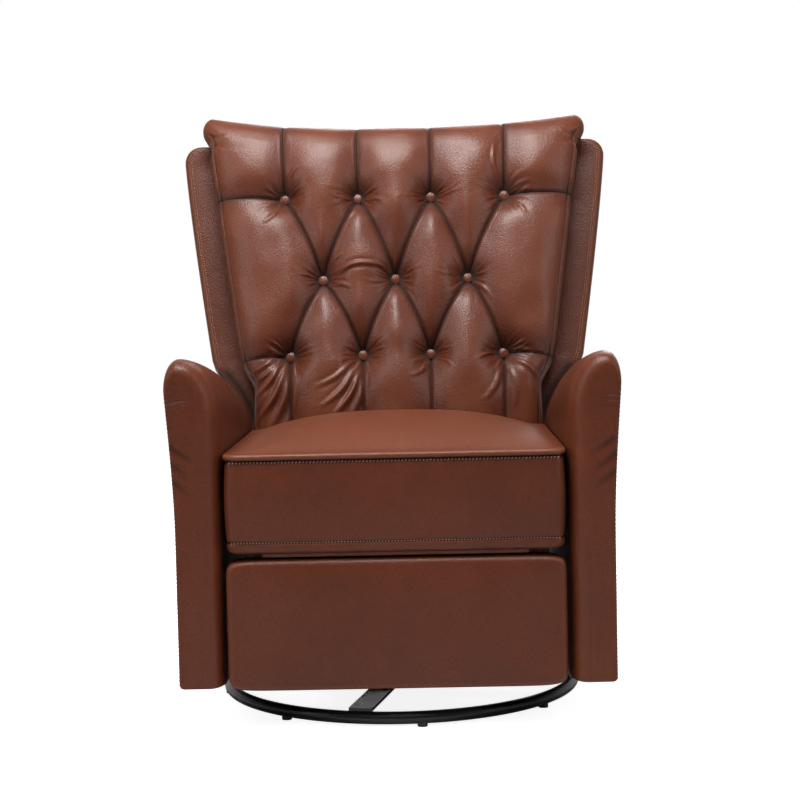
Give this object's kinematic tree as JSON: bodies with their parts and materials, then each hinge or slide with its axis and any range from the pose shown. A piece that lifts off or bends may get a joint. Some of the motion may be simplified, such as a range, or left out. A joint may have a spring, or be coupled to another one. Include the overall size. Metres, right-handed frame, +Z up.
{
  "type": "swivel recliner chair",
  "caption": "Leather armchair with tufted winged back and closed leg rest; swivels on a round tube base, reclines and opens its leg rest.",
  "frame": {"origin": "on the floor, on the swivel axis, under the middle of the round base", "axes": "+Z up, front of the chair faces -Y, +X to the right seen from the front"},
  "size_m": [0.806, 0.8305, 1.0147],
  "materials": {
    "leather": "satin",
    "plywood": "matte",
    "black_plastic": "matte",
    "webbing": "matte",
    "zinc_steel": "satin",
    "black_steel": "satin"
  },
  "bodies": {
    "base": {"base_ring": "black_steel", "base_spider": "black_steel", "base_glides": "black_plastic", "lower_race": "zinc_steel", "bearing_balls": "zinc_steel", "pivot_bolt": "zinc_steel", "pivot_nut": "zinc_steel"},
    "chassis": {"upper_race": "zinc_steel", "centre_plate": "black_steel", "long_tubes": "black_steel", "cross_tubes": "black_steel", "arm_end_plates": "black_steel", "left_side_plate": "black_steel", "right_side_plate": "black_steel", "chassis_pins": "zinc_steel", "left_arm_board": "plywood", "right_arm_board": "plywood", "left_arm_cover": "leather", "right_arm_cover": "leather", "arm_bolts": "zinc_steel"},
    "front_links": {"front_swing_links": "black_steel"},
    "rear_links": {"rear_swing_links": "black_steel"},
    "carriage": {"left_carriage_plate": "black_steel", "right_carriage_plate": "black_steel", "carriage_pins": "zinc_steel", "seat_side_rails": "plywood", "seat_cross_rails": "plywood", "seat_springs": "zinc_steel", "seat_lip": "leather", "seat_cushion": "leather"},
    "back_rods": {"back_control_rods": "black_steel", "back_rod_pins": "zinc_steel"},
    "back": {"back_brackets": "black_steel", "back_stiles": "plywood", "back_rails": "plywood", "back_webbing": "webbing", "back_shell": "leather", "back_cushion": "leather", "back_buttons": "leather", "wing_brackets": "black_steel"},
    "front_legs": {"front_leg_links": "black_steel"},
    "rear_legs": {"rear_leg_links": "black_steel"},
    "carrier": {"carrier_bars": "black_steel", "carrier_bar_pins": "zinc_steel"},
    "control": {"control_bars": "black_steel", "control_bar_pins": "zinc_steel"},
    "leg_rest": {"panel_brackets": "black_steel", "panel_board": "plywood", "leg_rest_pad": "leather"}
  },
  "joints": [
    {"name": "swivel", "type": "hinge", "parent": "base", "child": "chassis", "pos_m": [0, 0, 0], "axis": [0, 0, 1], "continuous": true},
    {"name": "recline", "type": "hinge", "parent": "chassis", "child": "front_links", "pos_m": [0, -0.06, 0.243], "axis": [-1, 0, 0], "range_deg": [0, 32]},
    {"name": "rear_swing", "type": "hinge", "parent": "chassis", "child": "rear_links", "pos_m": [0, 0.13, 0.243], "axis": [-1, 0, 0], "range_deg": [0, 32]},
    {"name": "carriage_swing", "type": "hinge", "parent": "front_links", "child": "carriage", "pos_m": [0, -0.05093, 0.11332], "axis": [-1, 0, 0], "range_deg": [-32, 0]},
    {"name": "back_tilt", "type": "hinge", "parent": "carriage", "child": "back", "pos_m": [0, 0.205, 0.285], "axis": [-1, 0, 0], "range_deg": [0, 32]},
    {"name": "rod_swing", "type": "hinge", "parent": "rear_links", "child": "back_rods", "pos_m": [0, 0.18831, 0.10463], "axis": [-1, 0, 0], "range_deg": [-32, 0]},
    {"name": "leg_rest_drive", "type": "hinge", "parent": "carriage", "child": "front_legs", "pos_m": [0, -0.217, 0.2485], "axis": [-1, 0, 0], "range_deg": [0, 84]},
    {"name": "rear_leg_swing", "type": "hinge", "parent": "carriage", "child": "rear_legs", "pos_m": [0, -0.172, 0.2365], "axis": [-1, 0, 0], "range_deg": [0, 84]},
    {"name": "carrier_swing", "type": "hinge", "parent": "front_legs", "child": "carrier", "pos_m": [0, -0.16296, 0.10003], "axis": [-1, 0, 0], "range_deg": [-84, 0]},
    {"name": "control_swing", "type": "hinge", "parent": "front_legs", "child": "control", "pos_m": [0, -0.16296, 0.06603], "axis": [-1, 0, 0], "range_deg": [-84, 0]},
    {"name": "leg_rest_turn", "type": "hinge", "parent": "carrier", "child": "leg_rest", "pos_m": [0, -0.256, 0.238], "axis": [-1, 0, 0], "range_deg": [0, 84]}
  ],
  "couplings": [
    {"joint": "rear_swing", "follows": "recline", "ratio": 1},
    {"joint": "carriage_swing", "follows": "recline", "ratio": -1},
    {"joint": "back_tilt", "follows": "recline", "ratio": 1},
    {"joint": "rod_swing", "follows": "recline", "ratio": -1},
    {"joint": "rear_leg_swing", "follows": "leg_rest_drive", "ratio": 1},
    {"joint": "carrier_swing", "follows": "leg_rest_drive", "ratio": -1},
    {"joint": "control_swing", "follows": "leg_rest_drive", "ratio": -1},
    {"joint": "leg_rest_turn", "follows": "leg_rest_drive", "ratio": 1}
  ]
}
